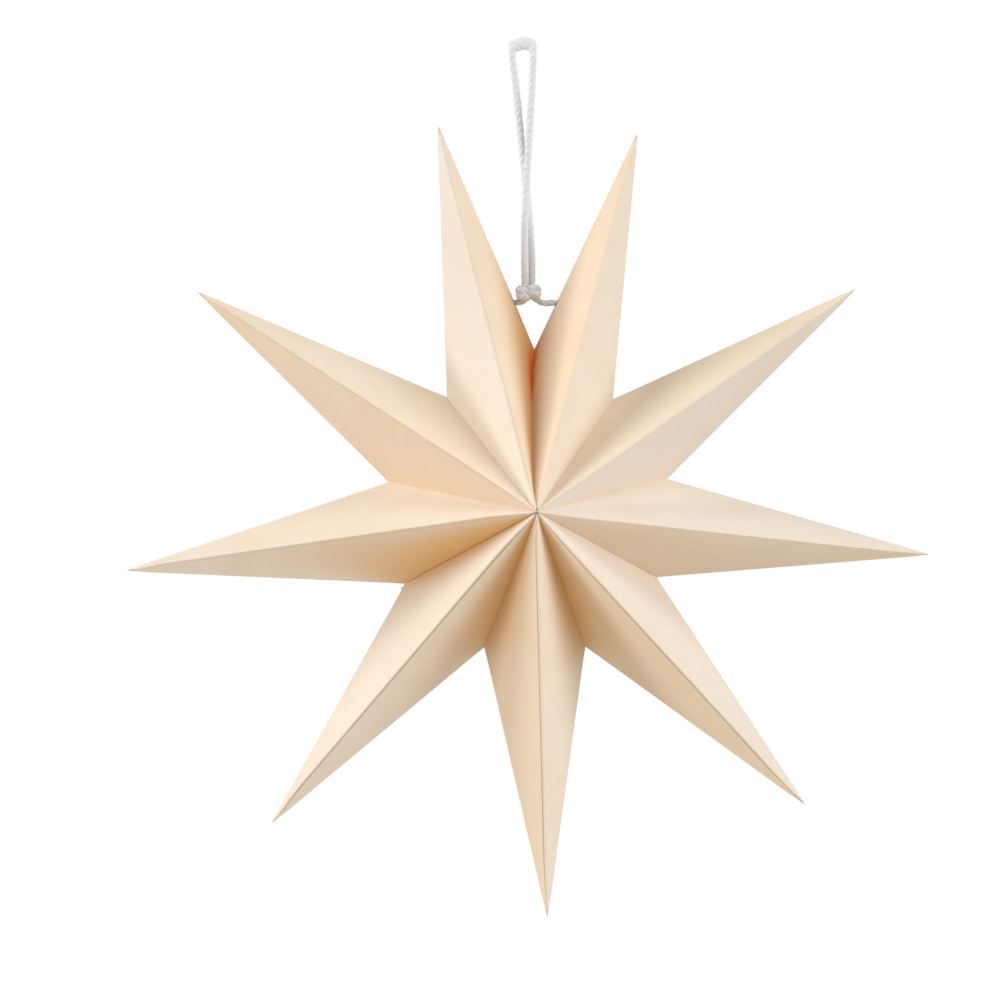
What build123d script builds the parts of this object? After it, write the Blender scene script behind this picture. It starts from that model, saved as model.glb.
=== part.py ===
from build123d import *

import math
import os

# A hanging paper star: nine folded hollow arms glued side by side round one middle axis.
# Lengths are in millimetres and angles in degrees. The star faces -Y and +Z is up.

# The sheet and the star's depth
PAPER = 0.35
HALF_DEPTH = 42.0

# Reach from the middle axis to the points, to the corners between them, and to the corner of
# the hanging seam, where the two end arms press together further out
POINT_REACH = 150.0
CORNER_REACH = 53.0
HANGING_CORNER_REACH = 61.5

# Directions of seams and arms, clockwise from straight up as seen from the front. Arm 1 lies
# between seams 1 and 2, and the last arm closes the round back to seam 1, where the cord hangs.
SEAM_TURNS = (1.7, 35.9, 76.2, 117.7, 159.0, 200.7, 242.2, 283.4, 324.7)
ARM_TURNS = (16.3, 56.0, 96.6, 137.6, 178.7, 221.0, 262.9, 304.4, 347.2)

# What each point and each later corner reaches beyond the rest, because they are glued by hand
POINT_UNEVEN = (-1.5, -1.2, 0.5, -0.6, 0.4, 0.5, 2.4, -0.2, -0.2)
CORNER_UNEVEN = (-0.9, -1.2, -1.3, -0.2, -0.7, 0.6, 1.4, 0.6)

# The soft bend beside the hanging seam, where the sheet has no crease
BEND_LENGTH = 46.0
BEND_SET_BACK = 7.0
BEND_STEPS = 7

# Glue flaps along each seam, turned in towards the middle
FLAP_WIDTH = 7.0
FLAP_START = 6.0
FLAP_BEVEL = 4.0
FLAP_NOTCH = 9.5

# The tab that closes each folded sheet, inside its front ridge
TAB_WIDTH = 7.0
TAB_START = 18.0
TAB_TIP_GAP = 15.0
TAB_BEVEL = 5.0
TAB_TIP_BEVEL = 13.0

# The cord, its holes in the two arms beside the hanging seam, and its knots
CORD = 2.8
HOLE_CLEARANCE = 0.3
HOLE_HEIGHT = 79.4
HOLE_CUT_OUTSIDE = 3.0
HOLE_CUT = 9.0
STOPPER_RADIUS = 3.0
STOPPER_SET_IN = 5.3
KNOT_RADIUS = 3.9
KNOT_LOBE_RADIUS = 3.0
KNOT_ABOVE_HOLES = 3.0
KNOT_OFFSET = -0.9
KNOT_LOBE_STEP = (3.0, -0.2, 1.0)

# Route of the loop: up the front strand, over the hook, and down the back strand
LOOP_ROUTE = (
    (-1.3, -1.0, 82.8),
    (-1.6, -1.6, 95.0),
    (-1.1, -1.7, 111.0),
    (-0.1, -1.6, 129.0),
    (1.4, -1.2, 148.0),
    (2.6, -0.4, 166.0),
    (2.9, 0.0, 178.1),
    (-4.4, 0.0, 178.1),
    (-4.0, 0.4, 167.0),
    (-3.0, 1.1, 153.0),
    (-1.8, 1.5, 138.5),
    (-0.2, 1.7, 122.0),
    (0.9, 1.7, 107.5),
    (1.4, 1.5, 95.0),
    (1.2, 1.0, 82.9),
)
# Routes of the ties from the main knot towards their holes
LEFT_TIE = ((-1.2, 0.0, 81.2),)
RIGHT_TIE = ((1.6, 0.0, 82.2), (5.4, 0.6, 78.9))
TIE_RUN_IN = 2.1

# The two ends of the middle axis, and the place under the top of the loop where a hook carries it
FRONT = Vector(0, -HALF_DEPTH, 0)
BACK = Vector(0, HALF_DEPTH, 0)
ARMS = len(ARM_TURNS)
LAST_ARM = ARMS - 1
LOOP_TOP = max(point[2] for point in LOOP_ROUTE)
LOOP_MIDDLE = sum(point[0] for point in LOOP_ROUTE if point[2] == LOOP_TOP) / 2
HANG_POINT = Vector(LOOP_MIDDLE, 0, LOOP_TOP - CORD / 2)
KNOT_CENTRE = Vector(KNOT_OFFSET, 0, HOLE_HEIGHT + KNOT_ABOVE_HOLES)
KNOT_LOBE_CENTRE = KNOT_CENTRE + Vector(*KNOT_LOBE_STEP)


def around(turn, reach):
    """A point of the middle plane, at a turn from straight up and a reach from the axis."""
    angle = math.radians(turn)
    return Vector(reach * math.sin(angle), 0, reach * math.cos(angle))


def tip_point(arm):
    return around(ARM_TURNS[arm], POINT_REACH + POINT_UNEVEN[arm])


def seam_point(number):
    """The outer corner of a seam; the hanging seam's is pressed back with the soft bend."""
    number = number % ARMS
    if number == 0:
        return around(SEAM_TURNS[0], HANGING_CORNER_REACH) + Vector(0, BEND_SET_BACK, 0)
    return around(SEAM_TURNS[number], CORNER_REACH + CORNER_UNEVEN[number - 1])


def bend_points(tip):
    """Points along the outer fold from the end of its straight part to the hanging seam."""
    corner = around(SEAM_TURNS[0], HANGING_CORNER_REACH)
    start = corner + (tip - corner).normalized() * BEND_LENGTH
    shares = [step / BEND_STEPS for step in range(BEND_STEPS)]
    return [start + (corner - start) * u + Vector(0, BEND_SET_BACK * u**3, 0) for u in shares]


def rim_of(arm):
    """The arm's outer fold points, from the seam before it to the seam after it."""
    tip = tip_point(arm)
    before = [seam_point(arm)]
    after = [seam_point(arm + 1)]
    if arm == 0:
        before += reversed(bend_points(tip))
    if arm == LAST_ARM:
        after = bend_points(tip) + after
    return before + [tip] + after


def outward(apex, first, second):
    """The unit normal of a panel, pointing away from the middle of the star."""
    normal = (first - apex).cross(second - apex).normalized()
    return normal if normal.dot(apex) > 0 else -normal


def panel_normals(apex, rim):
    return [outward(apex, a, b) for a, b in zip(rim, rim[1:])]


def shifted(point, conditions):
    """The point moved so that it lies at each distance along each of three directions."""
    (n1, d1), (n2, d2), (n3, d3) = conditions
    move = n2.cross(n3) * d1 + n3.cross(n1) * d2 + n1.cross(n2) * d3
    return point + move * (1 / n1.dot(n2.cross(n3)))


def beside(normals, index):
    """The sum of the normals of the panels that meet at a fold point, and their number."""
    near = normals[max(index - 1, 0) : index + 1]
    return sum(near[1:], near[0]), len(near)


def inner_rim(rim):
    """The fold points of the sheet's inner face, one thickness inside the outer ones."""
    fronts = panel_normals(FRONT, rim)
    backs = panel_normals(BACK, rim)
    points = []
    for index, point in enumerate(rim):
        front, fronts_here = beside(fronts, index)
        back, backs_here = beside(backs, index)
        across = Vector(0, 1, 0).cross(point).normalized()
        conditions = ((front, -PAPER * fronts_here), (back, -PAPER * backs_here), (across, 0))
        points.append(shifted(point, conditions))
    return points


def inner_apex(apex, rim, tip_index):
    """Where the inner face meets the axis, one thickness inside the panels beside the ridge."""
    normals = panel_normals(apex, rim)[tip_index - 1 : tip_index + 1]
    slope = sum(abs(normal.Y) for normal in normals) / len(normals)
    return apex - apex.normalized() * (PAPER / slope)


def polygon(points):
    return Face(Wire.make_polygon(points, close=True))


def panels(front, back, rim):
    """The triangles that run from both ends of the axis to each stretch of the rim."""
    pairs = list(zip(rim, rim[1:]))
    fronts = [polygon((front, a, b)) for a, b in pairs]
    backs = [polygon((back, b, a)) for a, b in pairs]
    return fronts + backs


def folded_sheet(rim, tip_index):
    """The arm's four panels and soft bend as one hollow solid of the sheet's thickness."""
    inner = inner_rim(rim)
    front = inner_apex(FRONT, rim, tip_index)
    back = inner_apex(BACK, rim, tip_index)
    faces = panels(FRONT, BACK, rim) + panels(front, back, inner)
    for end in (0, -1):
        faces.append(polygon((FRONT, rim[end], BACK, back, inner[end], front)))
    return Solid(Shell(faces)), (front, inner)


def strip(start, end, side, width, start_gap, start_bevel, end_gap, end_bevel):
    """A flat strip along a fold from start to end, widening to one side, with slanted ends."""
    along = (end - start).normalized()
    outer_start = start + along * start_gap
    outer_end = end - along * end_gap
    inner_end = outer_end - along * end_bevel + side * width
    inner_start = outer_start + along * start_bevel + side * width
    return polygon((outer_start, outer_end, inner_end, inner_start))


def square_to(direction, along):
    """The part of a direction that is square to another one, as a unit vector."""
    return (direction - along * direction.dot(along)).normalized()


def glue_flap(corner, apex, towards_arm):
    """The flap along one seam from one end of the axis, turned in towards the middle."""
    along = (corner - apex).normalized()
    side = square_to(-apex, along)
    face = strip(apex, corner, side, FLAP_WIDTH, FLAP_START, FLAP_BEVEL, 0, FLAP_NOTCH)
    return Solid.extrude(face, towards_arm * PAPER)


def glue_flaps(rim):
    """Both flaps of both seams of an arm."""
    flaps = []
    for corner, neighbour in ((rim[0], rim[1]), (rim[-1], rim[-2])):
        across = Vector(0, 1, 0).cross(corner).normalized()
        towards_arm = across if across.dot(neighbour) > 0 else -across
        flaps += [glue_flap(corner, apex, towards_arm) for apex in (FRONT, BACK)]
    return flaps


def closing_tab(front, tip, panel_corner):
    """The tab inside the front ridge that holds the folded sheet closed."""
    along = (tip - front).normalized()
    side = square_to(panel_corner - front, along)
    inward = -outward(front, tip, panel_corner)
    face = strip(front, tip, side, TAB_WIDTH, TAB_START, TAB_BEVEL, TAB_TIP_GAP, TAB_TIP_BEVEL)
    return Solid.extrude(face, inward * PAPER)


def hole_point(arm):
    """Where the cord passes through the outer fold beside the hanging seam."""
    tip = tip_point(arm)
    fold = [tip] + bend_points(tip) + [seam_point(0)]
    for upper, lower in zip(fold, fold[1:]):
        if lower.Z <= HOLE_HEIGHT <= upper.Z:
            return lower + (upper - lower) * ((HOLE_HEIGHT - lower.Z) / (upper.Z - lower.Z))


def into_arm(arm):
    """The level direction in which the cord runs through the hole into the arm."""
    return Vector(1, 0, 0) if arm == 0 else Vector(-1, 0, 0)


def cord_hole(arm):
    """The round cutter of the cord's hole, through both panels at the fold."""
    start = hole_point(arm) - into_arm(arm) * HOLE_CUT_OUTSIDE
    place = Plane(origin=start, z_dir=into_arm(arm))
    return Solid.make_cylinder(CORD / 2 + HOLE_CLEARANCE, HOLE_CUT, place)


def make_arm(arm):
    """One arm with its flaps, its closing tab and, beside the hanging seam, its cord hole."""
    rim = rim_of(arm)
    tip_index = max(range(len(rim)), key=lambda index: rim[index].length)
    sheet, (front, inner) = folded_sheet(rim, tip_index)
    tab_side = tip_index - 1 if arm == LAST_ARM else tip_index + 1
    tab = closing_tab(front, inner[tip_index], inner[tab_side])
    body = sheet.fuse(*glue_flaps(rim), tab)
    if arm in (0, LAST_ARM):
        body = body.cut(cord_hole(arm))
    return body


def bend_radii(points):
    """The radius of each corner of a cord's route, as large as its two runs allow."""
    radii = []
    for a, b, c in zip(points, points[1:], points[2:]):
        half_turn = math.radians((b - a).get_angle(c - b)) / 2
        radii.append(0.45 * min((b - a).length, (c - b).length) / math.tan(half_turn))
    return radii


def cord_tube(name, points):
    """A round cord along a route of straight runs and tangent arcs."""
    route = [Vector(*point) for point in points]
    radii = bend_radii(route)
    path = FilletPolyline(*route, radius=radii)
    section = Plane(origin=path @ 0, z_dir=path % 0) * Circle(CORD / 2)
    tube = sweep(section, path=path)
    filled = tube.volume / (math.pi * CORD**2 / 4 * path.length)
    print(name, "length", round(path.length, 1), "volume against section", round(filled, 4))
    print(name, "radii", [round(radius, 1) for radius in radii])
    return tube


def ball(radius, centre):
    return Solid.make_sphere(radius, Plane(origin=centre), -90, 90, 360)


def stopper_centre(arm):
    return hole_point(arm) + into_arm(arm) * STOPPER_SET_IN


def tie_route(arm, points):
    """A tie's route: from the main knot, through the hole, to the middle of its stopper knot."""
    return list(points) + [hole_point(arm) - into_arm(arm) * TIE_RUN_IN, stopper_centre(arm)]


def make_cord():
    """The tied loop, its main knot, and the two ties with a stopper knot inside each end arm."""
    knot = ball(KNOT_RADIUS, KNOT_CENTRE).fuse(ball(KNOT_LOBE_RADIUS, KNOT_LOBE_CENTRE))
    left_stopper = ball(STOPPER_RADIUS, stopper_centre(LAST_ARM))
    right_stopper = ball(STOPPER_RADIUS, stopper_centre(0))
    loop = cord_tube("cord_loop", LOOP_ROUTE)
    left_tie = cord_tube("cord_tie_left", tie_route(LAST_ARM, LEFT_TIE))
    right_tie = cord_tube("cord_tie_right", tie_route(0, RIGHT_TIE))
    return {
        "cord_loop": loop - knot,
        "cord_tie_left": left_tie - knot - left_stopper,
        "cord_tie_right": right_tie - knot - right_stopper,
        "main_knot": knot,
        "stopper_knot_left": left_stopper,
        "stopper_knot_right": right_stopper,
    }


def make_star():
    return {f"arm_{arm + 1}": make_arm(arm) for arm in range(ARMS)}


def export_parts(pieces):
    """Each piece in its own file, with the hanging place at the origin."""
    os.makedirs("parts", exist_ok=True)
    for name, piece in pieces.items():
        export_step(piece.moved(Location(-HANG_POINT)), f"parts/{name}.step")


export_parts({**make_star(), **make_cord()})
print("hangs at", HANG_POINT)
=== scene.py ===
import math
import random

import bpy
import bmesh
from mathutils import Matrix, Vector, noise


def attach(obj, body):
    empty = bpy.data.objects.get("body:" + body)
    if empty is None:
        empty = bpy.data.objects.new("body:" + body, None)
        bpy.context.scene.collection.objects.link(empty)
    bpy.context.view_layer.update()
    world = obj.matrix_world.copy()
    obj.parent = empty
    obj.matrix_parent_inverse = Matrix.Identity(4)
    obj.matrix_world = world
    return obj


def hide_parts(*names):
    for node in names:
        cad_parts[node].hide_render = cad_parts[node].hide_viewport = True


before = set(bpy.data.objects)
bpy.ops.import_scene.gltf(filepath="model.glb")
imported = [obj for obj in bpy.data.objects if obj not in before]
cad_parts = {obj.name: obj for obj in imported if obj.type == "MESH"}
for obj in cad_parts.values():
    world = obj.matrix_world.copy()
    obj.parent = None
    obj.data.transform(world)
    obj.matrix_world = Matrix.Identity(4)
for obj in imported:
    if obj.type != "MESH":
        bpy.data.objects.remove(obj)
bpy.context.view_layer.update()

mm = 0.001
chance = random.Random(11)
print("frame loaded,", len(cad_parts), "nodes")

# The star is worked out in millimetres round its own middle axis, as it was folded, and then
# hung by the underside of its cord loop, which is the frame's origin.
hangPoint = Vector((-0.75, 0.0, 176.7))


def toFrame(point):
    return (Vector(point) - hangPoint) * mm


# Camera: a short telephoto, straight on, a touch low and a touch off level
view = {
    "turn": -2.3,
    "tilt": -1.0,
    "roll": 0.85,
    "distance": 0.9,
    "lens": 86.5,
    "sensor": 36.0,
    "shiftX": -0.0322,
    "shiftY": 0.0142,
    "nearest": 0.05,
    "farthest": 30.0,
}


def makeCamera(settings):
    turn, tilt, roll = (math.radians(settings[name]) for name in ("turn", "tilt", "roll"))
    back = Vector((math.sin(turn) * math.cos(tilt), -math.cos(turn) * math.cos(tilt), math.sin(tilt)))
    level = Vector((math.cos(turn), math.sin(turn), 0.0))
    up = back.cross(level)
    across = level * math.cos(roll) - up * math.sin(roll)
    upright = level * math.sin(roll) + up * math.cos(roll)
    data = bpy.data.cameras.new("camera")
    data.lens = settings["lens"]
    data.sensor_width = settings["sensor"]
    data.shift_x = settings["shiftX"]
    data.shift_y = settings["shiftY"]
    data.clip_start = settings["nearest"]
    data.clip_end = settings["farthest"]
    camera = bpy.data.objects.new("camera", data)
    bpy.context.collection.objects.link(camera)
    axes = Matrix((across, upright, back)).transposed().to_4x4()
    camera.matrix_world = Matrix.Translation(toFrame((0, 0, 0)) + back * settings["distance"]) @ axes
    bpy.context.scene.camera = camera


makeCamera(view)
bpy.context.scene.view_settings.view_transform = "Standard"
print("camera placed")


# Materials: one small function adds a node with its settings and links
def addNode(tree, kind, settings=None, links=None):
    node = tree.nodes.new(kind)
    for name, value in (settings or {}).items():
        if isinstance(name, str) and hasattr(node, name):
            setattr(node, name, value)
        else:
            node.inputs[name].default_value = value
    for name, source in (links or {}).items():
        tree.links.new(source, node.inputs[name])
    return node


def fromHex(code):
    parts = [int(code[i:i + 2], 16) / 255 for i in (0, 2, 4)]
    return tuple(c / 12.92 if c <= 0.04045 else ((c + 0.055) / 1.055) ** 2.4 for c in parts) + (1.0,)


def newMaterial(name):
    material = bpy.data.materials.new(name)
    material.use_nodes = True
    material.node_tree.nodes.clear()
    return material, material.node_tree


# Uncoated cream card, about 300 g/m2, machine made: a short fine grain, a cloudy formation, no
# gloss, and folds that show a little lighter where the fibres are bruised. Painted light and shade
# lie on it too: paler front panels where lit, warmer ones where shaded, and darker, warmer valleys
# along the seams, in the hanging seam's crevice and in the grooves beside the closing edges.
card = {
    "face": "F9E8D2",
    "cloud": "F6E2C8",
    "fibre": "EED8BF",
    # Each noise pattern: its size in millimetres and its detail
    "patterns": {"cloud": (26.0, 2.0), "fibre": (1.6, 3.0), "grain": (0.42, 4.0)},
    "patternRoughness": 0.6,
    # The colours that two patterns blend in: between which of their values, and up to what share
    "blended": (("cloud", 0.35, 0.68, 1.0), ("fibre", 0.5, 0.75, 0.35)),
    # How a pattern breaks up a mark: between which of its values, and what share is always left
    "broken": (0.36, 0.58, 0.35),
    "roughness": 0.78,
    "ior": 1.5,
    "specular": 0.3,
    "grainHeight": 0.035,
    "grainStrength": 0.3,
    # What a distance or mark on the sheet does to its colour: the attribute, its two ends, the
    # share of the colour at each end, the colour, and the pattern that breaks it up
    "marks": (
        # Painted light and painted warm shade, panel by panel
        ("paled", 0.0, 1.0, 0.0, 1.0, "FDF5EC", None),
        ("yellowed", 0.0, 1.0, 0.0, 1.0, "FAD7AC", None),
        ("foldDistance", 0.12, 0.5, 0.04, 0.0, "FBF5EA", "grain"),
        # Painted shade in the groove beside each closing edge
        ("cutLine", 0.0, 1.0, 0.0, 0.95, "86684A", None),
        # Painted warm shade in the valleys beside the seams
        ("seamTone", 0.0, 1.0, 0.0, 1.0, "EBBA7B", None),
        # Painted warm shade in the hanging seam's crevice
        ("seamGlue", 0.0, 1.0, 0.0, 1.0, "EE8C40", None),
        # Each seam's dark line, deepened by painted shade in the shaded valleys
        ("seamLine", 0.0, 1.0, 0.0, 1.0, "7E4E2C", None),
        ("tipDistance", 0.5, 4.0, 0.7, 0.0, "B4ADA3", None),
    ),
}


def makeCard(settings):
    material, tree = newMaterial("creamCard")
    place = addNode(tree, "ShaderNodeTexCoord").outputs["Object"]
    patterns = {}
    for name, (size, detail) in settings["patterns"].items():
        patterns[name] = addNode(tree, "ShaderNodeTexNoise",
                                 {"Scale": 1 / (size * mm), "Detail": detail,
                                  "Roughness": settings["patternRoughness"]},
                                 {"Vector": place}).outputs["Fac"]
    colour = None
    for name, low, high, share in settings["blended"]:
        amount = addNode(tree, "ShaderNodeMapRange",
                         {"From Min": low, "From Max": high, "To Max": share},
                         {"Value": patterns[name]}).outputs["Result"]
        colour = addNode(tree, "ShaderNodeMix", {"data_type": "RGBA", 6: fromHex(settings["face"]),
                                                 7: fromHex(settings[name])},
                         {0: amount, 6: colour} if colour else {0: amount}).outputs[2]
    for name, near, far, atNear, atFar, shade, pattern in settings["marks"]:
        reading = addNode(tree, "ShaderNodeAttribute", {"attribute_name": name}).outputs["Fac"]
        amount = addNode(tree, "ShaderNodeMapRange",
                         {"interpolation_type": "SMOOTHSTEP", "From Min": near, "From Max": far,
                          "To Min": atNear, "To Max": atFar}, {"Value": reading}).outputs["Result"]
        if pattern:
            low, high, kept = settings["broken"]
            broken = addNode(tree, "ShaderNodeMapRange",
                             {"From Min": low, "From Max": high, "To Min": kept},
                             {"Value": patterns[pattern]}).outputs["Result"]
            amount = addNode(tree, "ShaderNodeMath", {"operation": "MULTIPLY"},
                             {0: amount, 1: broken}).outputs[0]
        colour = addNode(tree, "ShaderNodeMix", {"data_type": "RGBA", 7: fromHex(shade)},
                         {0: amount, 6: colour}).outputs[2]
    height = addNode(tree, "ShaderNodeBump", {"Strength": settings["grainStrength"],
                                              "Distance": settings["grainHeight"] * mm},
                     {"Height": patterns["grain"]}).outputs["Normal"]
    surface = addNode(tree, "ShaderNodeBsdfPrincipled",
                      {"Roughness": settings["roughness"], "IOR": settings["ior"],
                       "Specular IOR Level": settings["specular"]},
                      {"Base Color": colour, "Normal": height}).outputs[0]
    addNode(tree, "ShaderNodeOutputMaterial", {}, {"Surface": surface})
    return material


# Bleached cotton, three soft strands laid together: matt, blurred at its edges, with painted
# shade between the strands, and greyer along the ties, from handling in tying and from painted shade
cotton = {
    "yarn": "FAFAFC",
    "hollow": "EDECF0",
    "handled": "A6A8AE",
    # How deep between the strands the painted shade starts, and its share at the bottom
    "hollowFrom": 0.35,
    "hollowShare": 0.8,
    # The fibres of a strand: their spacing in millimetres, their slant in degrees, how unevenly
    # they lie, and how high and how strongly they stand out
    "yarnPitch": 0.55,
    "yarnSlant": -38.0,
    "yarnUneven": 1.6,
    "yarnHeight": 0.05,
    "yarnStrength": 0.6,
    # The width of a wave texture's band at a scale of 1
    "bandWidth": 0.314,
    # The fluff: its size in millimetres, between which of its values it shades, and how dark
    "fluffSize": 0.35,
    "fluffRange": (0.3, 0.7),
    "fluffShade": 0.93,
    "roughness": 0.9,
    "specular": 0.2,
    "sheen": 0.25,
    "sheenRoughness": 0.5,
}


def makeCotton(settings):
    material, tree = newMaterial("bleachedCotton")
    uv = addNode(tree, "ShaderNodeUVMap", {"uv_map": "alongStrand"}).outputs["UV"]
    slant = addNode(tree, "ShaderNodeMapping",
                    {"Rotation": (0.0, 0.0, math.radians(settings["yarnSlant"]))}, {"Vector": uv})
    fibres = addNode(tree, "ShaderNodeTexWave",
                     {"wave_type": "BANDS", "bands_direction": "X",
                      "Scale": settings["bandWidth"] / settings["yarnPitch"],
                      "Distortion": settings["yarnUneven"], "Detail": 2.0, "Detail Scale": 2.0},
                     {"Vector": slant.outputs[0]})
    place = addNode(tree, "ShaderNodeTexCoord").outputs["Object"]
    fluff = addNode(tree, "ShaderNodeTexNoise",
                    {"Scale": 1 / (settings["fluffSize"] * mm), "Detail": 3.0}, {"Vector": place})
    depth = addNode(tree, "ShaderNodeAttribute", {"attribute_name": "strandDepth"}).outputs["Fac"]
    # Painted shade between the strands
    grey = addNode(tree, "ShaderNodeMapRange",
                   {"From Min": settings["hollowFrom"], "To Max": settings["hollowShare"]},
                   {"Value": depth}).outputs["Result"]
    colour = addNode(tree, "ShaderNodeMix", {"data_type": "RGBA", 6: fromHex(settings["yarn"]),
                                             7: fromHex(settings["hollow"])}, {0: grey}).outputs[2]
    greyed = addNode(tree, "ShaderNodeAttribute", {"attribute_name": "handled"}).outputs["Fac"]
    colour = addNode(tree, "ShaderNodeMix", {"data_type": "RGBA", 7: fromHex(settings["handled"])},
                     {0: greyed, 6: colour}).outputs[2]
    low, high = settings["fluffRange"]
    shade = addNode(tree, "ShaderNodeMapRange",
                    {"From Min": low, "From Max": high, "To Min": settings["fluffShade"]},
                    {"Value": fluff.outputs["Fac"]}).outputs["Result"]
    colour = addNode(tree, "ShaderNodeVectorMath", {"operation": "SCALE"},
                     {0: colour, "Scale": shade}).outputs[0]
    height = addNode(tree, "ShaderNodeMath", {"operation": "ADD"},
                     {0: fibres.outputs["Fac"], 1: fluff.outputs["Fac"]}).outputs[0]
    bump = addNode(tree, "ShaderNodeBump",
                   {"Strength": settings["yarnStrength"], "Distance": settings["yarnHeight"] * mm},
                   {"Height": height})
    shader = addNode(tree, "ShaderNodeBsdfPrincipled",
                     {"Roughness": settings["roughness"], "Sheen Weight": settings["sheen"],
                      "Sheen Roughness": settings["sheenRoughness"],
                      "Specular IOR Level": settings["specular"]},
                     {"Base Color": colour, "Normal": bump.outputs["Normal"]})
    addNode(tree, "ShaderNodeOutputMaterial", {}, {"Surface": shader.outputs[0]})
    return material


creamCard = makeCard(card)
bleachedCotton = makeCotton(cotton)
print("materials made")


def makePiece(name, mesh, material, replaced):
    piece = bpy.data.objects.new(name, mesh)
    bpy.context.collection.objects.link(piece)
    mesh.materials.append(material)
    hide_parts(*replaced)
    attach(piece, "root")
    return piece


# The cord: one length of cotton, from a stopper knot inside the left arm, out through its hole,
# through the main knot, round the loop and back to a stopper knot inside the right arm
cord = {
    "diameter": 2.8,
    "strands": 3,
    "layLength": 8.4,
    "strandRadius": 0.98,
    "strandOffset": 0.41,
    # Flattened where it bears on the hook: how much wider and thinner, and over what height
    "pressedWider": 0.8,
    "pressedThinner": 0.3,
    "pressedFrom": 173.5,
    "pressedTo": 176.4,
    # The ties below the knot are pulled thin, and greyed by handling and by painted shade, between
    # these heights
    "tieFrom": 82.0,
    "tieTo": 80.0,
    "tieThinner": 0.16,
    "tieGreyer": 0.12,
    # How lumpy a strand is, and how fast that changes along it, round it and between strands
    "lumpy": 0.05,
    "lumpSteps": (0.21, 0.9, 7.3),
    "step": 0.35,
    "sides": 12,
    "route": (
        (-10.9, 1.35, 79.4),
        (-3.5, 1.35, 79.4),
        (-1.2, 0.6, 80.6),
        (-1.3, 0.5, 83.2),
        (-1.6, -1.5, 95.0),
        (-1.1, -1.7, 111.0),
        (-0.1, -1.6, 129.0),
        (1.4, -1.2, 148.0),
        (2.6, -0.4, 166.0),
        (3.2, 0.0, 177.2),
        (-3.2, 0.0, 176.8),
        (-5.2, 0.2, 174.2),
        (-4.2, 0.4, 166.0),
        (-3.0, 1.1, 153.0),
        (-1.8, 1.5, 138.5),
        (-0.2, 1.7, 122.0),
        (0.9, 1.7, 107.5),
        (1.4, 1.5, 95.0),
        (1.2, 1.2, 83.4),
        (1.6, 0.8, 81.4),
        (5.4, 0.6, 78.9),
        (8.6, 1.3, 79.4),
        (15.9, 1.3, 79.4),
    ),
}
# Where the cord passes through the outer folds of the two arms beside the hanging seam
leftHole = Vector((-5.59, 1.35, 79.4))
rightHole = Vector((10.64, 1.27, 79.4))

# Knots: each is the cord wound round itself, given by its turns. A turn is its middle, its
# radius, and how far it leans sideways and forwards in degrees.
knots = {
    "mainKnot": {
        "node": "main_knot",
        "fuller": 1.15,
        "turns": (
            ((-2.2, -0.1, 81.9), 1.45, 22, 4),
            ((-2.3, 0.1, 83.8), 1.40, 26, -4),
            ((1.9, -0.1, 82.9), 1.35, 24, 4),
            ((2.0, 0.1, 84.8), 1.20, 20, -4),
        ),
    },
    "stopperKnotLeft": {
        "node": "stopper_knot_left",
        "fuller": 1.0,
        "turns": (((-10.6, 1.35, 79.4), 1.55, 84, 8), ((-11.6, 1.35, 79.5), 1.5, 66, -12)),
    },
    "stopperKnotRight": {
        "node": "stopper_knot_right",
        "fuller": 1.0,
        "turns": (((15.7, 1.3, 79.4), 1.55, 96, 8), ((16.7, 1.3, 79.5), 1.5, 114, -12)),
    },
}


# Points along one smooth spline through the route, in metres
def splinePoints(name, route):
    data = bpy.data.curves.new(name, "CURVE")
    data.dimensions = "3D"
    data.resolution_u = 24
    spline = data.splines.new("NURBS")
    spline.points.add(len(route) - 1)
    for point, place in zip(spline.points, route):
        point.co = (*place, 1.0)
    spline.order_u = 3
    spline.use_endpoint_u = True
    holder = bpy.data.objects.new(name, data)
    bpy.context.collection.objects.link(holder)
    bpy.context.view_layer.update()
    line = bpy.data.meshes.new_from_object(holder)
    points = [vertex.co.copy() for vertex in line.vertices]
    bpy.data.objects.remove(holder)
    bpy.data.meshes.remove(line)
    return points


# The same line again with its points an even step apart
def evenPoints(points, step):
    lengths = [(b - a).length for a, b in zip(points, points[1:])]
    total = sum(lengths)
    count = max(2, round(total / step))
    result = [points[0].copy()]
    index = 0
    walked = 0.0
    for number in range(1, count):
        goal = total * number / count
        while walked + lengths[index] < goal:
            walked += lengths[index]
            index += 1
        result.append(points[index].lerp(points[index + 1], (goal - walked) / lengths[index]))
    result.append(points[-1].copy())
    return result, total


# A pair of cross directions at each point, carried along without turning
def carriedFrames(points):
    tangents = [(points[min(i + 1, len(points) - 1)] - points[max(i - 1, 0)]).normalized()
                for i in range(len(points))]
    side = tangents[0].orthogonal().normalized()
    frames = []
    for tangent in tangents:
        side = (side - tangent * side.dot(tangent)).normalized()
        frames.append((side, tangent.cross(side)))
    return frames


def easeBetween(value, low, high):
    share = min(1.0, max(0.0, (value - low) / (high - low)))
    return share * share * (3 - 2 * share)


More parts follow.
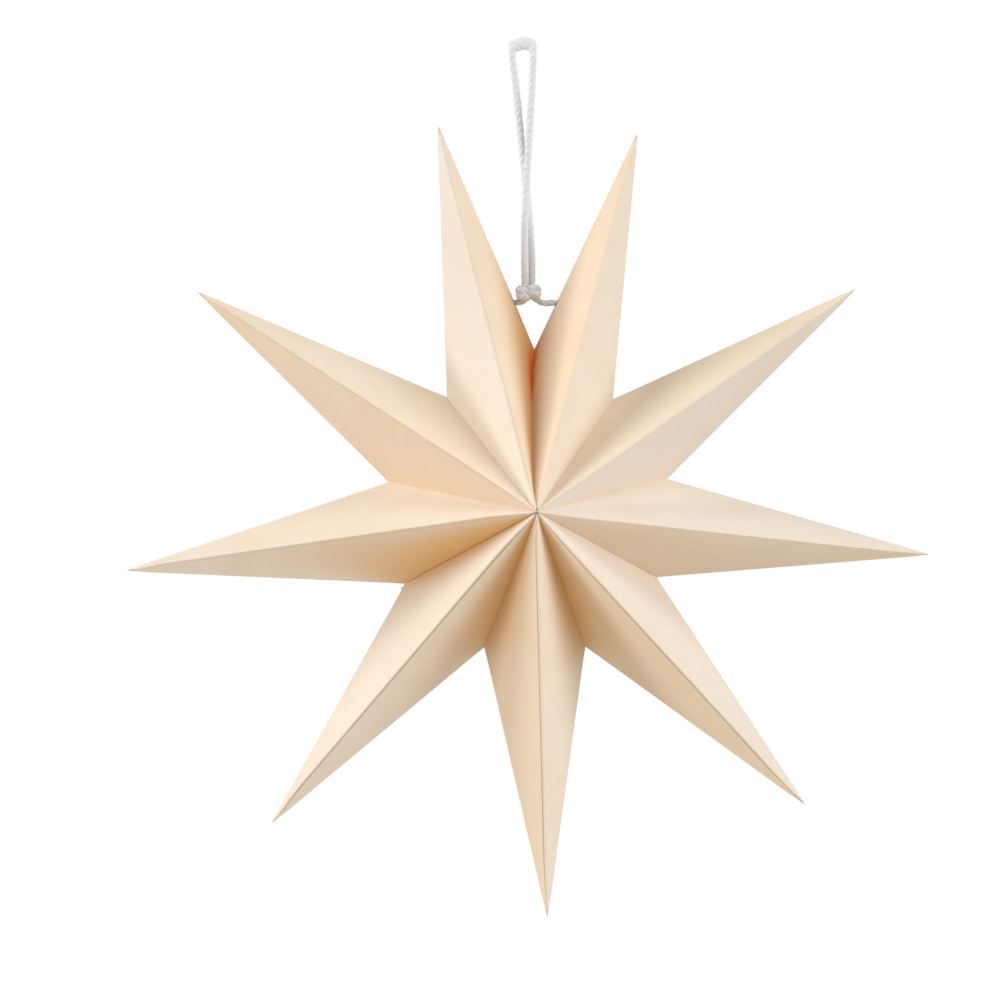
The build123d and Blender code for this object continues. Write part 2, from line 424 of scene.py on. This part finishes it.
# Three strands laid round the line, each a soft round yarn
def twistedMesh(name, points, settings, fuller=1.0):
    frames = carriedFrames(points)
    step = settings["step"]
    sides = settings["sides"]
    turnStep = 2 * math.pi * step / settings["layLength"]
    alongStep, roundStep, strandStep = settings["lumpSteps"]
    build = bmesh.new()
    depth = build.verts.layers.float.new("strandDepth")
    greyed = build.verts.layers.float.new("handled")
    uv = build.loops.layers.uv.new("alongStrand")
    for strand in range(settings["strands"]):
        start = 2 * math.pi * strand / settings["strands"]
        rings = []
        for index, point in enumerate(points):
            angle = start + index * turnStep
            side, other = frames[index]
            out = side * math.cos(angle) + other * math.sin(angle)
            along = side * -math.sin(angle) + other * math.cos(angle)
            height = point.z / mm + hangPoint.z
            pressed = easeBetween(height, settings["pressedFrom"], settings["pressedTo"])
            tied = easeBetween(height, settings["tieFrom"], settings["tieTo"]) * (name == "hangingCord")
            full = fuller * (1 - tied * settings["tieThinner"])
            middle = point + out * settings["strandOffset"] * full * mm
            wider = 1 + pressed * settings["pressedWider"]
            ring = []
            for number in range(sides):
                turned = 2 * math.pi * number / sides
                place = Vector((index * alongStep, number * roundStep, strand * strandStep))
                swell = 1.0 + settings["lumpy"] * noise.noise(place)
                reach = settings["strandRadius"] * full * swell * mm
                away = middle + (out * math.cos(turned) + along * math.sin(turned)) * reach - point
                away *= wider
                away.y *= (1 - pressed * settings["pressedThinner"]) / wider
                vertex = build.verts.new(point + away)
                vertex[depth] = 0.5 - 0.5 * math.cos(turned)
                # Grey on the ties, from handling and from painted shade
                vertex[greyed] = tied * settings["tieGreyer"]
                ring.append(vertex)
            rings.append(ring)
        pairs = list(zip(rings, rings[1:]))
        for index, (ring, following) in enumerate(pairs):
            for number in range(sides):
                after = (number + 1) % sides
                face = build.faces.new((ring[number], ring[after],
                                        following[after], following[number]))
                corners = ((index, number), (index, number + 1),
                           (index + 1, number + 1), (index + 1, number))
                for loop, (far, turn) in zip(face.loops, corners):
                    loop[uv].uv = (turn * 2 * math.pi * settings["strandRadius"] / sides, far * step)
        build.faces.new(reversed(rings[0]))
        build.faces.new(rings[-1])
    build.normal_update()
    bmesh.ops.recalc_face_normals(build, faces=build.faces)
    mesh = bpy.data.meshes.new(name)
    build.to_mesh(mesh)
    build.free()
    mesh.shade_smooth()
    return mesh


# How one turn of a knot is laid: its corners, where it starts in degrees, how far its even and
# its odd corners stand out, and how far it climbs from corner to corner in millimetres
knotTurn = {
    "corners": 8,
    "start": 200,
    "outward": (1.12, 1.08),
    "climb": 0.16,
}


# Points that wind once round each turn and pass on to the next
def turnRoute(turns):
    corners = knotTurn["corners"]
    route = []
    for middle, radius, sideLean, forwardLean in turns:
        lean = (Matrix.Rotation(math.radians(sideLean), 3, "Y")
                @ Matrix.Rotation(math.radians(forwardLean), 3, "X"))
        for corner in range(corners):
            angle = math.radians(knotTurn["start"] + corner * 360 / corners)
            spread = radius * knotTurn["outward"][corner % 2]
            climb = (corner - (corners - 1) / 2) * knotTurn["climb"]
            flat = Vector((math.cos(angle) * spread, math.sin(angle) * spread, climb))
            route.append(toFrame(Vector(middle) + lean @ flat))
    return route


def makeCord(settings):
    points = splinePoints("cordRoute", [toFrame(place) for place in settings["route"]])
    line, length = evenPoints(points, settings["step"] * mm)
    mesh = twistedMesh("hangingCord", line, settings)
    piece = makePiece("hangingCord", mesh, bleachedCotton,
                      ("cord_loop", "cord_tie_left", "cord_tie_right"))
    return piece, line, length


hangingCord, cordLine, cordLength = makeCord(cord)
for knotName, knot in knots.items():
    knotLine, _ = evenPoints(splinePoints(knotName, turnRoute(knot["turns"])), cord["step"] * mm)
    knotMesh = twistedMesh(knotName, knotLine, cord, knot["fuller"])
    makePiece(knotName, knotMesh, bleachedCotton, (knot["node"],))

print("cord laid, mm:", round(cordLength / mm, 1))


# The star: nine folded sheets, glued side by side. Directions are degrees clockwise from
# straight up, reaches are from the middle axis, all as the hand-glued star came out.
star = {
    "sheet": 0.35,
    "halfDepth": 42.0,
    "seamTurns": (1.7, 35.9, 76.2, 117.7, 159.0, 200.7, 242.2, 283.4, 324.7),
    "cornerReaches": (61.5, 52.1, 51.8, 51.7, 52.8, 52.3, 53.6, 54.4, 53.6),
    "armTurns": (16.3, 56.0, 96.6, 137.6, 178.7, 221.0, 262.9, 304.4, 347.2),
    "pointReaches": (148.5, 148.8, 150.5, 149.4, 150.4, 150.5, 152.4, 149.8, 149.8),
    "bendLength": 46.0,
    "bendSetBack": 4.0,
    "ridgeRadius": 0.45,
    "foldRadius": 0.45,
    "seamRadius": 0.75,
    "flapWidth": 7.0,
    "flapStart": 6.0,
    "flapBevel": 4.0,
    "flapNotch": 9.5,
    # How far the middle of a panel swells out, the least share of that, how high and how long its
    # slow waves are, and how far in from each fold the panel stays flat, in millimetres
    "bow": 0.484,
    "leastBow": 0.4,
    "wave": 0.42,
    "waveLength": 30.0,
    "calmReach": 7.0,
    # Where in the noise the waves of each panel start: by arm, by side, on the front, on the back
    "waveStarts": (11.7, 5.3, 3.1, 9.4),
    # Folds that turn by more degrees than this are drawn crisp
    "sharpAngle": 38.0,
    # How deep the groove beside each sheet's closing edge is, and how dark the painted shade in it
    "creaseStrengths": (0.25, 0.12, 0.1, 0.5, 0.6, 0.55, 0.25, 0.2, 0.2),
    # Which panel that edge belongs to, 0 for the one at the arm's own seam
    "closingSides": (0, 0, 1, 1, 1, 0, 0, 0, 1),
    # How far each front ridge was glued off its true line, clockwise, how far into the panels
    # beside it that shows, and between which shares of its length it sets in and ends
    "ridgeShifts": (0.0, 0.0, 0.35, 0.25, 0.1, 1.1, 0.75, 0.45, -0.6),
    "ridgeShiftReach": 12.0,
    "ridgeShiftEnds": ((0.0, 0.12), (0.88, 1.0)),
    # How dark each seam's own line is, with painted shade deepening it in the shaded valleys, how
    # wide in millimetres, how dark on the back, and between which shares of its length the hanging
    # seam's and the others' fade out
    "seamShades": (2.0, 0.08, 0.0, 1.0, 0.85, 0.85, 1.7, 0.1, 0.3),
    "seamLineWidth": 0.6,
    "backLine": 0.5,
    "hangingLineFade": (0.55, 0.75),
    "lineFade": (0.94, 1.0),
    # How strong the painted warm shade in the valley beside each seam is, and how wide: the side
    # of the next arm first, then the side of the arm before it
    "seamTones": (
        ((0.45, 0.12), (1.50, 0.34)),
        ((0.05, 0.30), (0.05, 0.30)),
        ((0.00, 0.30), (0.00, 0.30)),
        ((0.08, 0.10), (0.18, 0.80)),
        ((1.00, 0.36), (0.95, 0.46)),
        ((1.00, 0.56), (0.92, 0.34)),
        ((1.02, 0.95), (0.95, 0.18)),
        ((0.12, 0.80), (0.08, 0.40)),
        ((0.10, 0.40), (0.12, 0.30)),
    ),
    # The same on the back, how much weaker and at least how wide it is at the corner, and how
    # fast it falls off
    "backTone": (0.2, 0.2),
    "toneLoss": 0.3,
    "leastToneWidth": 0.15,
    "toneFall": 1.4,
    # How wide the painted warm shade in the hanging seam's crevice is on each side, as a share of
    # the way along it, and between which shares of its length it sets in and then mostly ends
    "glueWidths": (0.055, 0.075),
    "glueEnds": ((0.55, 0.8), (0.93, 1.0)),
    "glueLoss": 0.8,
    # How much painted light (above 0) or painted warm shade (below 0) each front panel carries, its
    # own seam's side first
    "ageing": ((-0.3, 0.30), (0.0, 0.45), (0.5, -0.3), (0.5, -0.45), (0.25, -0.40), (0.0, 0.3),
               (0.0, 0.25), (-0.4, 0.1), (0.4, -0.1)),
    # How far the hanging seam has been pulled over sideways, how far into the panels that shows,
    # and between which shares of its length it sets in and ends
    "seamShift": -1.3,
    "seamShiftReach": 9.0,
    "seamShiftEnds": ((0.0, 0.1), (0.82, 1.0)),
}
# Lines of the mesh beside a seam and beside a ridge, by their distance from it in millimetres
seamLines = (0.0, 0.07, 0.14, 0.21, 0.30, 0.45, 0.9)
ridgeLines = (1.5, 1.05, 0.88, 0.75, 0.64, 0.53, 0.42, 0.31, 0.20, 0.10, 0.0)
# Across the groove beside the closing edge: distance along the panel and depth at each ridge line
grooveLines = ((1.5, 0.0), (1.05, 0.0), (0.88, 0.03), (0.75, 0.10), (0.64, 0.20), (0.53, 0.31),
               (0.43, 0.31), (0.32, 0.16), (0.21, 0.0), (0.10, 0.0), (0.0, 0.0))
rowsFromTip = (0.0, 0.4, 0.9, 1.5, 2.6, 4.5, 7.5, 12.0, 18.0, 25.0)
rowsFromMiddle = (18.0, 12.0, 8.0, 5.0, 3.0, 1.8, 1.0, 0.0)
rowStep = 8.0
grooveFloor = range(3, 8)               # the ridge lines that lie in the groove and are dark
middleLines = 14                        # lines between those beside the seam and the ridge
hangingMiddleLines = 30                 # and on the softly bent panels
# How fast lines and roundings spread out again from the two ends of a fold, where they close up
ridgeSpreads = (0.1, 0.08)
seamSpreads = (0.1, 0.5)
rimSpreads = (0.06, 0.5)
slopeStep = 0.004                       # share of the outer fold over which its slope is taken
flatShare = 0.9                         # share of it at which every panel is flat
flapMiddle = (0.4, 0.5)                 # a flap's middle line: share of its width, distance past it
leastReach = 1e-4                       # roundings smaller than this are left out
thickensBy = 0.5                        # share of the card gained per millimetre from a fold's ends
mergeDistance = 0.0025                  # points closer than this become one
collapsedDistance = 0.0005              # edges shorter than this are dropped
awayFromFold = 5.0                      # distances given to points that take no fold or tip marks
awayFromTip = 50.0
arms = len(star["armTurns"])
frontEnd = Vector((0.0, -star["halfDepth"], 0.0))
backEnd = Vector((0.0, star["halfDepth"], 0.0))


def around(turn, reach):
    angle = math.radians(turn)
    return Vector((reach * math.sin(angle), 0.0, reach * math.cos(angle)))


def tipPoint(arm):
    return around(star["armTurns"][arm], star["pointReaches"][arm])


def flatCorner(seam):
    return around(star["seamTurns"][seam % arms], star["cornerReaches"][seam % arms])


# The outer fold from the corner at its seam (share 0) to the tip (share 1)
def rimPoint(arm, side, share):
    corner = flatCorner(arm + side)
    tip = tipPoint(arm)
    point = corner.lerp(tip, share)
    if (arm + side) % arms == 0:
        bend = max(0.0, 1.0 - share * (tip - corner).length / star["bendLength"])
        point.y += star["bendSetBack"] * bend**3
    return point


def rimSlope(arm, side, share):
    low = max(0.0, share - slopeStep)
    high = min(1.0, share + slopeStep)
    return (rimPoint(arm, side, high) - rimPoint(arm, side, low)) / (high - low)


# Outward normal of the panel along the ruling that meets the rim at this share
def panelNormal(arm, side, apex, share):
    point = rimPoint(arm, side, share)
    normal = (point - apex).cross(rimSlope(arm, side, share)).normalized()
    return normal if normal.dot(apex) > 0 else -normal


# How far a point near a rounded fold moves along the panel and down from its plane
def roundedFold(distance, reach, turn):
    if distance >= reach:
        return 0.0, 0.0
    lean = turn / 2 * (1 - distance / reach)
    radius = reach / math.tan(turn / 2)
    return reach - radius * math.sin(lean) - distance, radius * (1 - math.cos(lean))


def squareTo(direction, along):
    return (direction - along * direction.dot(along)).normalized()


# One arm while it is being built, in millimetres
class Sheet:

    def __init__(self, arm):
        self.arm = arm
        self.build = bmesh.new()
        layers = self.build.verts.layers
        self.numbers = {name: layers.float.new(name) for name in
                        ("seamLine", "foldDistance", "tipDistance", "cutLine", "seamTone", "seamGlue",
                         "paled", "yellowed", "thinning")}
        self.groove = layers.float_vector.new("groove")

    def vertex(self, point, groove=None, **numbers):
        vertex = self.build.verts.new(point)
        for name, value in numbers.items():
            vertex[self.numbers[name]] = value
        if groove is not None:
            vertex[self.groove] = groove
        return vertex

    def quads(self, rows, flip):
        for row, following in zip(rows, rows[1:]):
            for a, b, c, d in zip(row, row[1:], following[1:], following):
                self.build.faces.new((a, b, c, d) if flip else (d, c, b, a))


# Shares of the way from the axis end to the rim, close together at the rim and the middle
def rowShares(ridgeLength):
    inner = list(rowsFromMiddle)
    span = ridgeLength - rowsFromTip[-1] - inner[0]
    count = round(span / rowStep)
    fromTip = list(rowsFromTip) + [rowsFromTip[-1] + span * n / count for n in range(1, count)]
    return ([1 - distance / ridgeLength for distance in fromTip]
            + [distance / ridgeLength for distance in inner])


# 0 at both ends of a line and 1 between, easing over the two given stretches
def betweenEnds(share, ends):
    setIn, end = ends
    return easeBetween(share, *setIn) * (1 - easeBetween(share, *end))


# How far a point of the hanging seam's front is pulled sideways: not at its ends or the ridge
def pulledOver(share, place, fromSeam):
    near = (1 - place) ** 2 * math.exp(-(fromSeam / star["seamShiftReach"]) ** 2)
    return Vector((star["seamShift"] * betweenEnds(share, star["seamShiftEnds"]) * near, 0.0, 0.0))


# How far a point of a front panel is drawn sideways with its ridge: not at the rim or the seam
def drawnAside(arm, share, place, fromRidge):
    near = place**2 * math.exp(-(fromRidge / star["ridgeShiftReach"]) ** 2)
    shift = star["ridgeShifts"][arm] * betweenEnds(share, star["ridgeShiftEnds"]) * near
    return around(star["armTurns"][arm] + 90, shift)


# From 0 to 1, how far lines this wide have spread at these distances from a fold's two ends
def spreadOut(width, distances, spreads):
    return min(1.0, spreads[0] * distances[0] / width, spreads[1] * distances[1] / width)


# The points of one row across a panel, as shares of the way from its seam to its ridge, each with
# its number among the ridge lines if it is one
def rowPlaces(share, seamScale, ridgeScale, seamWidth, ridgeWidth, steps):
    if share == 0:
        places = [0.0] * len(seamLines)
        ridgePlaces = [1.0] * len(ridgeLines)
    else:
        places = [min(1.0, line * seamScale / (share * seamWidth)) for line in seamLines]
        ridgePlaces = [1 - line * ridgeScale / (share * ridgeWidth) for line in ridgeLines]
    first, last = places[-1], ridgePlaces[0]
    places += [first + (last - first) * n / steps for n in range(1, steps)]
    return [(place, None) for place in places] + [(place, n) for n, place in enumerate(ridgePlaces)]


# How strong the painted warm shade beside a seam is, how much painted shade fills the hanging
# seam's crevice, and how dark the seam's line and its painted shade are
def seamStains(arm, side, front, share, fromSeam, seamFromMiddle):
    number = (arm + side) % arms
    hanging = number == 0
    sideways = fromSeam / max(seamFromMiddle, 1.0)
    tone, width = star["seamTones"][number][side] if front else star["backTone"]
    width *= 1.0 if hanging else max(star["leastToneWidth"], 1 - share**4)
    tone = min(1.0, tone * (1 - star["toneLoss"] * share * share))
    tone *= math.exp(-(sideways / width) ** star["toneFall"])
    glue = 0.0
    if hanging and front:
        setIn, end = star["glueEnds"]
        glue = easeBetween(share, *setIn) * (1 - star["glueLoss"] * easeBetween(share, *end))
        glue *= math.exp(-(sideways / star["glueWidths"][side]) ** 2)
    line = star["seamShades"][number] if front else star["backLine"]
    line *= 1 - easeBetween(share, *star["hangingLineFade" if hanging else "lineFade"])
    return {"seamTone": tone, "seamGlue": glue,
            "seamLine": line * max(0.0, 1 - fromSeam / star["seamLineWidth"])}


# One panel of an arm, from its seam to its ridge, and the glue flap along its seam
def addPanel(sheet, side, apex):
    arm = sheet.arm
    front = apex.y < 0
    hanging = (arm + side) % arms == 0
    tip = tipPoint(arm)
    corner = rimPoint(arm, side, 0.0)
    unbent = flatCorner(arm + side)
    ridge = tip - apex
    seam = corner - apex
    ridgeAlong = ridge.normalized()
    seamAlong = seam.normalized()
    slopeAtCorner = rimSlope(arm, side, 0.0)
    intoFromRidge = squareTo(corner - tip, ridgeAlong)
    intoFromSeam = squareTo(slopeAtCorner, seamAlong)
    ridgeWidth = (tip - unbent).length * (unbent - tip).normalized().cross(ridgeAlong).length
    seamWidth = slopeAtCorner.length * slopeAtCorner.normalized().cross(seamAlong).length
    ridgeTurn = panelNormal(arm, 0, apex, flatShare).angle(panelNormal(arm, 1, apex, flatShare))
    ridgeReach = star["ridgeRadius"] * math.tan(ridgeTurn / 2)
    across = Vector((0.0, 1.0, 0.0)).cross(unbent).normalized()
    towardsArm = across if across.dot(tip) > 0 else -across
    seamTurn = panelNormal(arm, side, apex, 0.0).angle(-towardsArm)
    seamReach = star["seamRadius"] * math.tan(seamTurn / 2)
    grooved = front and side == star["closingSides"][arm]
    strength = star["creaseStrengths"][arm]
    armStart, sideStart, frontStart, backStart = star["waveStarts"]
    waveStart = Vector((arm * armStart, side * sideStart, frontStart if front else backStart))
    bow = star["bow"] * (star["leastBow"] + (1 - star["leastBow"]) * chance.random())
    age = star["ageing"][arm][side] if front else 0.0
    rows = []
    flapRows = []
    for share in rowShares(ridge.length):
        seamFromMiddle = share * seam.length
        ridgeScale = spreadOut(ridgeLines[0], (share * ridge.length, (1 - share) * ridge.length),
                               ridgeSpreads)
        seamScale = spreadOut(seamLines[-1], (seamFromMiddle, (1 - share) * seam.length), seamSpreads)
        row = []
        for place, ridgeLine in rowPlaces(share, seamScale, ridgeScale, seamWidth, ridgeWidth,
                                          hangingMiddleLines if hanging else middleLines):
            rim = rimPoint(arm, side, place)
            flat = apex + (rim - apex) * share
            normal = panelNormal(arm, side, apex, place)
            slope = rimSlope(arm, side, place).normalized()
            fromRidge = (flat - apex).cross(ridgeAlong).length
            fromSeam = (flat - apex).cross(seamAlong).length
            fromRim = (1 - share) * (rim - apex).cross(slope).length
            rimTurn = normal.angle(panelNormal(arm, side, -apex, place))
            rimReach = min(star["foldRadius"] * math.tan(rimTurn / 2),
                           rimSpreads[0] * (rim - tip).length, rimSpreads[1] * (rim - corner).length)
            point = flat.copy()
            groove = None
            if grooved and ridgeLine is not None:
                along, depth = grooveLines[ridgeLine]
                sideways = intoFromRidge * (along - ridgeLines[ridgeLine])
                groove = (sideways - normal * (depth * strength)) * ridgeScale
            if not front and ridgeScale > 0:
                shift, drop = roundedFold(fromRidge, ridgeReach * ridgeScale, ridgeTurn)
                point += intoFromRidge * shift - normal * drop
            if seamScale > 0:
                shift, drop = roundedFold(fromSeam, seamReach * seamScale, seamTurn)
                point += intoFromSeam * shift - normal * drop
            if rimReach > leastReach:
                shift, drop = roundedFold(fromRim, rimReach, rimTurn)
                point += -squareTo(rim - apex, slope) * shift - normal * drop
            calm = math.prod(1 - math.exp(-distance / star["calmReach"])
                             for distance in (fromRidge, fromSeam, fromRim))
            wave = star["wave"] * noise.noise(flat / star["waveLength"] + waveStart)
            point += normal * ((bow + wave) * calm)
            if front:
                point += drawnAside(arm, share, place, fromRidge)
                if hanging:
                    point += pulledOver(share, place, fromSeam)
            row.append(sheet.vertex(
                point, groove, foldDistance=min(fromRidge, fromRim), tipDistance=(flat - tip).length,
                paled=max(0.0, age), yellowed=max(0.0, -age),
                cutLine=strength if grooved and ridgeLine in grooveFloor else 0.0,
                thinning=min(1.0, thickensBy * min((flat - tip).length, (flat - apex).length)),
                **seamStains(arm, side, front, share, fromSeam, seamFromMiddle)))
        rows.append(row)
        flapRows.append(flapRow(sheet, apex, seam, towardsArm, share, seamScale,
                                seamReach * seamScale, seamTurn, hanging and front))
    flip = (side == 0) == front
    sheet.quads(rows, flip)
    sheet.quads(flapRows, not flip)


# The glue flap's points at one row, from the seam fold to its free edge
def flapRow(sheet, apex, seam, towardsArm, share, scale, reach, turn, pulled):
    along = share * seam.length
    left = seam.length - along
    width = star["flapWidth"] * max(0.0, min(1.0, (along - star["flapStart"]) / star["flapBevel"],
                                             left / star["flapNotch"]))
    side = squareTo(-apex, seam.normalized())
    foot = apex + seam * share
    distances = [min(line * scale, width) for line in seamLines]
    distances += [min(width * flapMiddle[0] + flapMiddle[1] * scale, width), width]
    row = []
    for distance in distances:
        point = foot + side * distance
        if scale > 0:
            shift, drop = roundedFold(distance, reach, turn)
            point += side * shift + towardsArm * drop
        if pulled:
            point += pulledOver(share, 0.0, 0.0)
        row.append(sheet.vertex(point, foldDistance=awayFromFold, tipDistance=awayFromTip,
                                thinning=min(1.0, thickensBy * along)))
    return row


# The sheet's inner face and its cut edges; the closing groove is then pressed into the outer face
def thicken(sheet):
    build = sheet.build
    bmesh.ops.remove_doubles(build, verts=build.verts, dist=mergeDistance)
    bmesh.ops.dissolve_degenerate(build, dist=collapsedDistance, edges=build.edges)
    build.normal_update()
    build.verts.index_update()
    outer = list(build.verts)
    outerFaces = list(build.faces)
    border = [edge for edge in build.edges if len(edge.link_faces) == 1]
    inner = []
    for vertex in outer:
        depth = star["sheet"] * vertex[sheet.numbers["thinning"]]
        copy = build.verts.new(vertex.co - vertex.normal * depth, vertex)
        copy[sheet.groove] = (0.0, 0.0, 0.0)
        inner.append(copy)
    for face in outerFaces:
        build.faces.new([inner[v.index] for v in reversed(face.verts)])
    for edge in border:
        loop = edge.link_loops[0]
        a, b = loop.vert, loop.link_loop_next.vert
        build.faces.new((b, a, inner[a.index], inner[b.index]))
    for vertex in outer:
        vertex.co += vertex[sheet.groove]


# A corner of the glue flap that pokes out past the outer fold beside one seam
pokedCorner = {
    "arm": 5,
    "side": 1,
    "alongRim": (1.5, 3.7),
    "peakAlong": 2.4,
    "out": 0.95,
    "inside": 0.5,
    # Its base is darker: painted shade where it comes out from between the panels
    "baseShade": 0.9,
    "peakShade": 0.1,
    "foldDistance": 0.3,
}


def addPokedCorner(sheet, settings):
    arm, side = settings["arm"], settings["side"]
    corner, tip = rimPoint(arm, side, 0.0), tipPoint(arm)
    along = (tip - corner).normalized()
    outward = Vector((0.0, 1.0, 0.0)).cross(along)
    if outward.dot(corner) < 0:
        outward = -outward
    low, high = settings["alongRim"]
    outline = ((low, -settings["inside"], settings["baseShade"]),
               (settings["peakAlong"], settings["out"], settings["peakShade"]),
               (high, -settings["inside"], settings["baseShade"]))
    sides = []
    for depth in (-star["sheet"] / 2, star["sheet"] / 2):
        sides.append([sheet.vertex(corner + along * far + outward * out + Vector((0.0, depth, 0.0)),
                                   seamLine=shade, foldDistance=settings["foldDistance"],
                                   tipDistance=awayFromTip) for far, out, shade in outline])
    front, back = sides
    faces = [front, back[::-1]]
    for number in range(3):
        after = (number + 1) % 3
        faces.append([front[after], front[number], back[number], back[after]])
    made = [sheet.build.faces.new(face) for face in faces]
    bmesh.ops.recalc_face_normals(sheet.build, faces=made)


# The punch for the cord's holes, a little wider than the cord, and how far into the arm it is set
punchSize = {
    "radius": 1.7,
    "length": 12.0,
    "setIn": 3.0,
    "sides": 40,
}


# A punched hole through the outer fold
def cutHole(piece, middle, direction, settings):
    build = bmesh.new()
    bmesh.ops.create_cone(build, cap_ends=True, segments=settings["sides"],
                          radius1=settings["radius"] * mm, radius2=settings["radius"] * mm,
                          depth=settings["length"] * mm)
    build.transform(Matrix.Translation(toFrame(middle + direction * settings["setIn"]))
                    @ Matrix.Rotation(math.pi / 2, 4, "Y"))
    punchMesh = bpy.data.meshes.new("punch")
    build.to_mesh(punchMesh)
    build.free()
    punch = bpy.data.objects.new("punch", punchMesh)
    bpy.context.collection.objects.link(punch)
    cut = piece.modifiers.new("cordHole", "BOOLEAN")
    cut.operation = "DIFFERENCE"
    cut.solver = "EXACT"
    cut.object = punch
    bpy.context.view_layer.update()
    graph = bpy.context.evaluated_depsgraph_get()
    ready = bpy.data.meshes.new_from_object(piece.evaluated_get(graph))
    piece.modifiers.clear()
    old = piece.data
    piece.data = ready
    bpy.data.meshes.remove(old)
    bpy.data.objects.remove(punch)


def makeArm(arm):
    sheet = Sheet(arm)
    for apex in (frontEnd, backEnd):
        for side in (0, 1):
            addPanel(sheet, side, apex)
    thicken(sheet)
    if arm == pokedCorner["arm"]:
        addPokedCorner(sheet, pokedCorner)
    build = sheet.build
    for vertex in build.verts:
        vertex.co = toFrame(vertex.co)
    mesh = bpy.data.meshes.new(f"foldedArm{arm + 1}")
    build.to_mesh(mesh)
    build.free()
    piece = makePiece(f"foldedArm{arm + 1}", mesh, creamCard, (f"arm_{arm + 1}",))
    if arm == 0:
        cutHole(piece, rightHole, Vector((1, 0, 0)), punchSize)
    if arm == arms - 1:
        cutHole(piece, leftHole, Vector((-1, 0, 0)), punchSize)
    piece.data.shade_smooth()
    piece.data.set_sharp_from_angle(angle=math.radians(star["sharpAngle"]))
    return piece


foldedArms = [makeArm(arm) for arm in range(arms)]
print("arms folded,", sum(len(piece.data.polygons) for piece in foldedArms), "faces")


# Stage: a pale matt table well below the star, and soft studio light from the upper left and
# right, from the right and from low on the left
stage = {
    "tableHeight": -0.6,
    "tableSize": 1.5,
    "tableSteps": 12,
    "tableColour": "EDEBE8",
    "tableRoughness": (0.75, 0.9),
    "speckSize": 8.0,
    "worldStrength": 0.258,
    # Each lamp: its place from the star's middle in metres, its width and its power
    "lamps": (
        ("leftSoftbox", (-1.5, -0.5, 1.2), 1.0, 18.3),
        ("rightSoftbox", (0.9, -0.9, 1.7), 1.0, 11.8),
        ("rightFill", (1.9, -0.8, 0.3), 1.0, 17.2),
        ("lowFill", (-1.3, -0.5, -0.22), 0.35, 4.8),
    ),
}


def makeStage(settings):
    material, tree = newMaterial("paleTable")
    place = addNode(tree, "ShaderNodeTexCoord").outputs["Object"]
    speck = addNode(tree, "ShaderNodeTexNoise",
                    {"Scale": 1 / (settings["speckSize"] * mm), "Detail": 3.0}, {"Vector": place})
    low, high = settings["tableRoughness"]
    rough = addNode(tree, "ShaderNodeMapRange", {"To Min": low, "To Max": high},
                    {"Value": speck.outputs["Fac"]}).outputs["Result"]
    shader = addNode(tree, "ShaderNodeBsdfPrincipled",
                     {"Base Color": fromHex(settings["tableColour"])}, {"Roughness": rough})
    addNode(tree, "ShaderNodeOutputMaterial", {}, {"Surface": shader.outputs[0]})
    build = bmesh.new()
    bmesh.ops.create_grid(build, x_segments=settings["tableSteps"], y_segments=settings["tableSteps"],
                          size=settings["tableSize"] / 2)
    build.transform(Matrix.Translation((0.0, 0.0, settings["tableHeight"])))
    mesh = bpy.data.meshes.new("table")
    build.to_mesh(mesh)
    build.free()
    mesh.materials.append(material)
    table = bpy.data.objects.new("table", mesh)
    bpy.context.collection.objects.link(table)
    for name, offset, size, power in settings["lamps"]:
        data = bpy.data.lights.new(name, "AREA")
        data.shape = "DISK"
        data.size = size
        data.energy = power
        lamp = bpy.data.objects.new(name, data)
        bpy.context.collection.objects.link(lamp)
        lamp.location = toFrame((0, 0, 0)) + Vector(offset)
        lamp.rotation_euler = Vector(offset).to_track_quat("Z", "Y").to_euler()
        lamp.visible_camera = False
    world = bpy.data.worlds.new("studio")
    bpy.context.scene.world = world
    world.use_nodes = True
    worldTree = world.node_tree
    worldTree.nodes.clear()
    path = addNode(worldTree, "ShaderNodeLightPath").outputs
    seen = addNode(worldTree, "ShaderNodeMath", {"operation": "MAXIMUM"},
                   {0: path["Is Camera Ray"], 1: path["Is Glossy Ray"]}).outputs[0]
    seen = addNode(worldTree, "ShaderNodeMath", {"operation": "MAXIMUM"},
                   {0: seen, 1: path["Is Transmission Ray"]}).outputs[0]
    strength = addNode(worldTree, "ShaderNodeMapRange", {"To Min": settings["worldStrength"]},
                       {"Value": seen}).outputs["Result"]
    background = addNode(worldTree, "ShaderNodeBackground", {"Color": (1.0, 1.0, 1.0, 1.0)},
                         {"Strength": strength})
    addNode(worldTree, "ShaderNodeOutputWorld", {}, {"Surface": background.outputs[0]})


makeStage(stage)
print("stage set")
